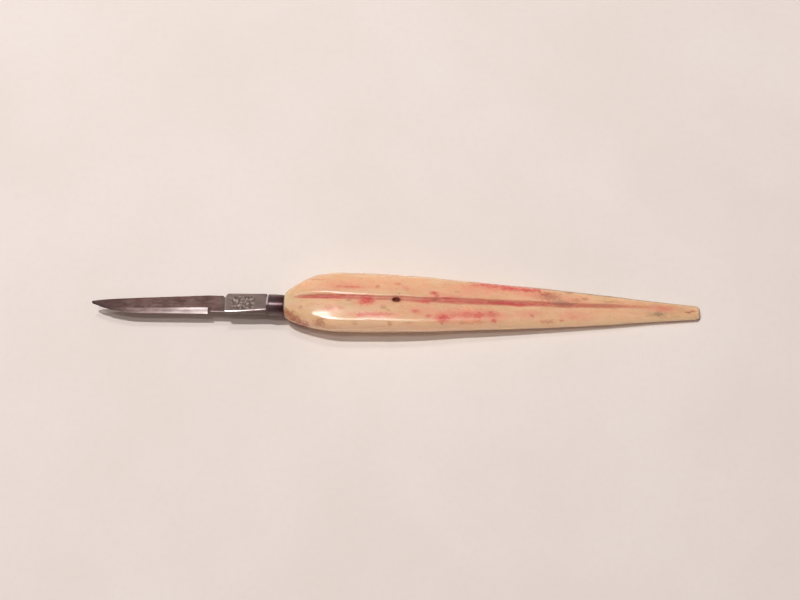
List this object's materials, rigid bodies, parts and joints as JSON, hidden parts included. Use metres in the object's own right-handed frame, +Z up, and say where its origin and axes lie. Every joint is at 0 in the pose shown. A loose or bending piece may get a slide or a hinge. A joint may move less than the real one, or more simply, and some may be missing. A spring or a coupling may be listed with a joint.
{
  "type": "desk penknife",
  "caption": "Fixed-blade desk penknife: short bevelled steel blade with a thick ricasso, turned steel bolster and a long tapered bone handle with a natural groove.",
  "frame": {"origin": "under the middle of the knife's box, on the surface that it lies on", "axes": "+X runs from the tip of the blade to the tail of the handle, +Z is up as the knife lies flat with its edge towards -Y"},
  "size_m": [0.1652, 0.0162, 0.0092],
  "materials": {
    "blade_steel": "aged, worn and lightly patinated",
    "bolster_steel": "dark, polished",
    "bone": "polished bone with red and brown stains",
    "resin": "dark cutler's resin"
  },
  "bodies": {
    "root": {"blade": "blade_steel", "bolster": "bolster_steel", "handle": "bone", "tang_cement": "resin"}
  },
  "joints": []
}
